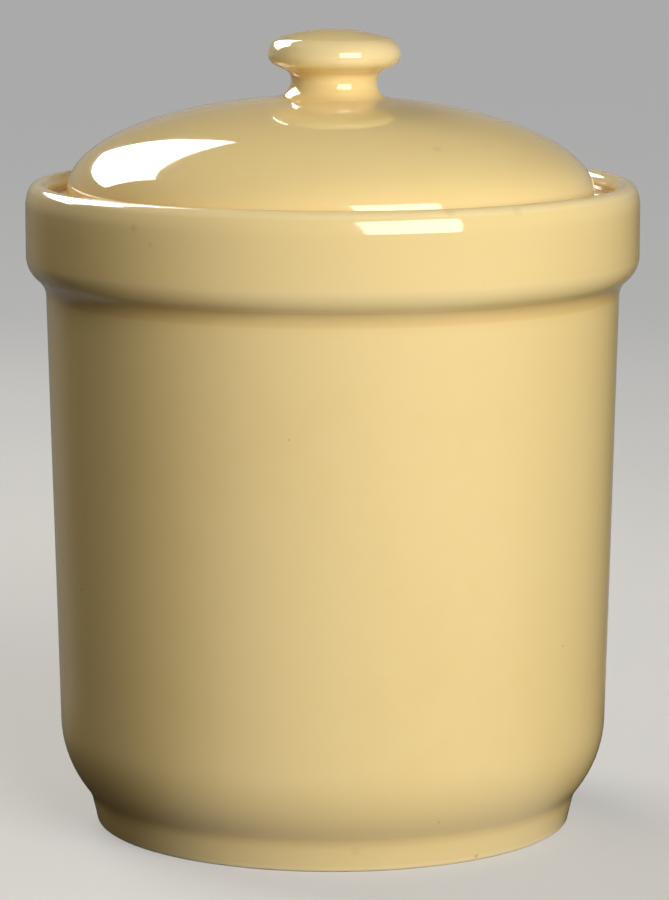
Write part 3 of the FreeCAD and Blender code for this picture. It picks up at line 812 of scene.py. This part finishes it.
def mix_shaders(tree, factor, first, second):
    """Shader first where the factor is 0, second where it is 1."""
    return add_node(tree, "ShaderNodeMixShader", {
        0: factor, 1: first.outputs[0], 2: second.outputs[0]})


def add_shaders(tree, first, second):
    """Both shaders together."""
    return add_node(tree, "ShaderNodeAddShader", {0: first.outputs[0], 1: second.outputs[0]})


def stage_material(colour, bounce):
    """A plain matt surface, pale to the camera and in reflections, clear from below.

    The light that it throws back on the object is that of its darker bounce colour. Far from
    the object it takes less from the lamps and glows more, so that it stays even round them.
    Inside the foot ring it glows on the underside, and nothing of that glow gets out.
    """
    material, tree = new_material("stage_paper")
    place = add_node(tree, "ShaderNodeTexCoord").outputs["Object"]
    grain = ramp(tree, noise(tree, place, FLOOR_GRAIN_SCALE), *NOISE_BAND, *FLOOR_GRAIN)
    away = add_node(
        tree, "ShaderNodeVectorMath", {0: place}, operation="LENGTH").outputs["Value"]
    far = ramp(tree, away, NEAR, FAR)
    tint = mix_colours(tree, far, rgba(colour), rgba(colour * FAR_LIT))
    tint = add_node(tree, "ShaderNodeVectorMath", {0: tint, 3: grain}, operation="SCALE")
    matt = add_node(tree, "ShaderNodeBsdfDiffuse", {"Color": tint.outputs["Vector"]})
    glow = add_node(tree, "ShaderNodeEmission", {
        "Color": rgba(colour), "Strength": ramp(tree, far, 0.0, 1.0, NEAR_GLOW, 1.0)})
    dim = add_node(tree, "ShaderNodeBsdfDiffuse", {"Color": rgba(bounce)})
    under = add_node(tree, "ShaderNodeEmission", {
        "Color": UNDER_COLOUR, "Strength": ramp(tree, away, *UNDER_RADII, UNDER_GLOW, 0.0)})
    above = mix_shaders(
        tree, seen_rays(tree), add_shaders(tree, dim, under), add_shaders(tree, matt, glow))
    below = add_node(tree, "ShaderNodeBsdfTransparent")
    back = add_node(tree, "ShaderNodeNewGeometry").outputs["Backfacing"]
    surface = mix_shaders(tree, back, above, below)
    add_node(tree, "ShaderNodeOutputMaterial", {"Surface": surface.outputs[0]})
    return material


# ------------------------------
# Stage


def toward(azimuth, elevation):
    """Unit vector to a direction: azimuth 0 is the front, 90 the right, both in degrees."""
    turn, lift = math.radians(azimuth), math.radians(elevation)
    return Vector((math.sin(turn) * math.cos(lift), -math.cos(turn) * math.cos(lift),
                   math.sin(lift)))


def softbox(name, azimuth, elevation, size, power, shine, colour, target):
    """A rectangular lamp that faces the target, as one lamp for its light and one for its shine.

    The second is seen only in reflections, a little whiter and at shine times the power. It is
    left out where shine is 0.
    """
    away = toward(azimuth, elevation)
    whiter = [(channel + 1) / 2 for channel in colour]
    parts = [("light", power, colour, LAMP_DISTANCE)]
    if shine > 0:
        parts.append(("shine", power * shine, whiter, LAMP_DISTANCE + SHINE_OFFSET))
    for part, strength, tint, distance in parts:
        lamp = bpy.data.lights.new("%s_lamp_%s" % (name, part), "AREA")
        lamp.shape = "RECTANGLE"
        lamp.size, lamp.size_y = size
        lamp.energy = strength
        lamp.color = tint
        holder = bpy.data.objects.new(lamp.name, lamp)
        holder.location = target + away * distance
        holder.rotation_mode = "QUATERNION"
        holder.rotation_quaternion = away.to_track_quat("Z", "Y")
        holder.visible_camera = False
        holder.visible_glossy = part == "shine"
        holder.visible_diffuse = part == "light"
        bpy.context.scene.collection.objects.link(holder)


def make_card(inner, outer, height):
    """A dark sheet for the glaze to reflect: flat on the floor round the foot, then upright.

    Its points are (r sin a, -r cos a, z), with a once round and (r, z) along an L: out from the
    inner to the outer radius, then up to the height. It is clear in front, thinner behind and
    clear along its top, with smooth steps between. Only reflections show it.
    """
    turn = np.linspace(-math.pi, math.pi, CARD_COLUMNS)
    across = np.array([inner, outer, outer, outer])[:, None]
    level = np.array([CARD_LIFT, CARD_LIFT, CARD_SOLID * height, height])[:, None]
    points = np.stack(np.broadcast_arrays(
        across * np.sin(turn), -across * np.cos(turn), level), axis=-1)
    first = np.arange(3 * CARD_COLUMNS).reshape(3, CARD_COLUMNS)[:, :-1].ravel()
    sides = np.column_stack((first, first + 1, first + 1 + CARD_COLUMNS, first + CARD_COLUMNS))
    mesh = bpy.data.meshes.new("dark_card")
    mesh.from_pydata(points.reshape(-1, 3).tolist(), [], sides.tolist())

    def step(low, high):
        """From 0 to 1 as the angle goes from low to high, in degrees."""
        return smooth((np.degrees(turn) - low) / (high - low))

    flat = sum(step(*angles) for angles in CARD_SIDES)
    upright = flat * (1 - sum(loss * step(low, high) for low, high, loss in CARD_BEHIND))
    dark = np.concatenate((flat, upright, upright, np.zeros(CARD_COLUMNS))).astype(np.float32)
    mesh.attributes.new("dark", "FLOAT", "POINT").data.foreach_set("value", dark)

    material, tree = new_material("dark_card")
    share = add_node(tree, "ShaderNodeAttribute", attribute_name="dark").outputs["Fac"]
    surface = mix_shaders(
        tree, share, add_node(tree, "ShaderNodeBsdfTransparent"),
        add_node(tree, "ShaderNodeBsdfDiffuse", {"Color": CARD_COLOUR}))
    add_node(tree, "ShaderNodeOutputMaterial", {"Surface": surface.outputs[0]})
    mesh.materials.append(material)

    card = bpy.data.objects.new("dark_card", mesh)
    card.visible_camera = False
    card.visible_shadow = False
    card.visible_diffuse = False
    bpy.context.scene.collection.objects.link(card)


def make_floor(radius, colour, bounce):
    """A flat disc at height 0 that faces up, its rim points at evenly spaced angles."""
    turn = np.linspace(0, 2 * math.pi, FLOOR_CORNERS, endpoint=False)
    rim = np.column_stack((radius * np.cos(turn), radius * np.sin(turn), np.zeros(len(turn))))
    mesh = bpy.data.meshes.new("floor")
    mesh.from_pydata(rim.tolist(), [], [list(range(len(rim)))])
    mesh.materials.append(stage_material(colour, bounce))
    floor = bpy.data.objects.new("floor", mesh)
    bpy.context.scene.collection.objects.link(floor)


def make_world():
    """Dim even light all round, and a pale background to the camera and in reflections.

    The background is palest at the horizon and darkens upwards, as a studio's ceiling does.
    """
    world = bpy.data.worlds.new("plain_room")
    bpy.context.scene.world = world
    world.use_nodes = True
    tree = world.node_tree
    tree.nodes.clear()
    view = add_node(tree, "ShaderNodeTexCoord").outputs["Generated"]
    upward = add_node(tree, "ShaderNodeSeparateXYZ", {0: view}).outputs["Z"]
    room = add_node(tree, "ShaderNodeBackground", {
        "Color": ROOM_COLOUR, "Strength": ROOM_STRENGTH})
    pale = add_node(tree, "ShaderNodeBackground", {
        "Color": (1, 1, 1, 1),
        "Strength": ramp(tree, upward, 0.0, CEILING_RISE, HORIZON, OVERHEAD)})
    both = mix_shaders(tree, seen_rays(tree), room, pale)
    add_node(tree, "ShaderNodeOutputWorld", {"Surface": both.outputs[0]})


# ------------------------------
# Operators


class CANISTER_OT_jar(bpy.types.Operator):
    """Makes the glazed jar in place of its CAD solid"""

    bl_idname = "canister.jar"
    bl_label = "Make jar"

    def execute(self, context):
        settings = context.scene.canister
        section = jar_section(settings.jar, JAR_BOX[1].x, JAR_BOX[1].z)
        piece = turned_piece("glazed_jar", section, JAR_ROWS, JAR_WAVES, settings.jar.unevenness)
        # Strong painted shade in the jar's hollows, with the glaze run thick there.
        piece.data.materials.append(glaze_material(
            "yellow_glaze_jar", settings.colours, pooling_and_shade=0.8, clouds=0.07, specks=0.4,
            spots=JAR_SPOTS, bare_below=0.0))
        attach(piece, "root")
        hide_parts("jar")
        return {"FINISHED"}


class CANISTER_OT_lid(bpy.types.Operator):
    """Makes the glazed lid with its knob in place of its CAD solid"""

    bl_idname = "canister.lid"
    bl_label = "Make lid"

    def execute(self, context):
        settings = context.scene.canister
        jar = settings.jar
        lid = settings.lid
        seat = JAR_BOX[1].z - jar.gallery_depth
        section = lid_section(lid, JAR_BOX[1].x, jar.rim_thickness, jar.seat_width, seat)
        piece = turned_piece(
            "glazed_lid", section, LID_ROWS, LID_WAVES, lid.unevenness,
            lambda points: leaned(points, seat, lid.lean, lid.shift, lid.knob_shift))
        # Light painted shade in the lid's hollows, with the glaze run thick there.
        piece.data.materials.append(glaze_material(
            "yellow_glaze_lid", settings.colours, pooling_and_shade=0.2, clouds=0.06, specks=0.35,
            spots=LID_SPOTS))
        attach(piece, "root")
        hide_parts("lid")
        return {"FINISHED"}


class CANISTER_OT_stage(bpy.types.Operator):
    """Makes the floor, the lamps, the world and the camera"""

    bl_idname = "canister.stage"
    bl_label = "Make stage"

    def execute(self, context):
        scene = context.scene
        stage = scene.canister.stage
        scene.view_settings.view_transform = "Standard"
        make_floor(stage.floor_radius, np.array(stage.floor_colour), np.array(stage.floor_bounce))
        make_world()
        low, high = CAD_BOX
        power = {"key": stage.key_power, "back": stage.back_power, "top": stage.top_power}
        for name, azimuth, elevation, size, shine, colour in LAMPS:
            softbox(name, azimuth, elevation, size, power[name], shine, colour, (low + high) / 2)
        make_card(CARD_INNER, stage.card_radius, stage.card_height)

        camera = bpy.data.objects.new("camera", bpy.data.cameras.new("camera"))
        camera.data.lens = stage.lens
        camera.location = (stage.camera_side, -stage.camera_distance, stage.camera_height)
        camera.rotation_euler = (math.pi / 2 - stage.camera_pitch, 0, 0)
        scene.collection.objects.link(camera)
        scene.camera = camera
        return {"FINISHED"}


class CANISTER_PT_tools(bpy.types.Panel):
    """The canister's operators and settings"""

    bl_idname = "CANISTER_PT_tools"
    bl_label = "Ceramic canister"
    bl_space_type = "VIEW_3D"
    bl_region_type = "UI"
    bl_category = "Canister"

    def draw(self, context):
        layout = self.layout
        settings = context.scene.canister
        for operator in (CANISTER_OT_jar, CANISTER_OT_lid, CANISTER_OT_stage):
            layout.operator(operator.bl_idname)
        for group in (settings.jar, settings.lid, settings.colours, settings.stage):
            box = layout.box()
            for name in group.__annotations__:
                box.prop(group, name)


CLASSES = (
    JarSizes, LidSizes, GlazeColours, StageSettings, CanisterSettings,
    CANISTER_OT_jar, CANISTER_OT_lid, CANISTER_OT_stage, CANISTER_PT_tools)


def register():
    """Makes the classes and the settings known to Blender."""
    for kind in CLASSES:
        bpy.utils.register_class(kind)
    bpy.types.Scene.canister = PointerProperty(type=CanisterSettings)


def unregister():
    """Takes the settings and the classes out again."""
    del bpy.types.Scene.canister
    for kind in reversed(CLASSES):
        bpy.utils.unregister_class(kind)


def main():
    register()
    bpy.ops.canister.jar()
    bpy.ops.canister.lid()
    bpy.ops.canister.stage()


if __name__ == "__main__":
    main()
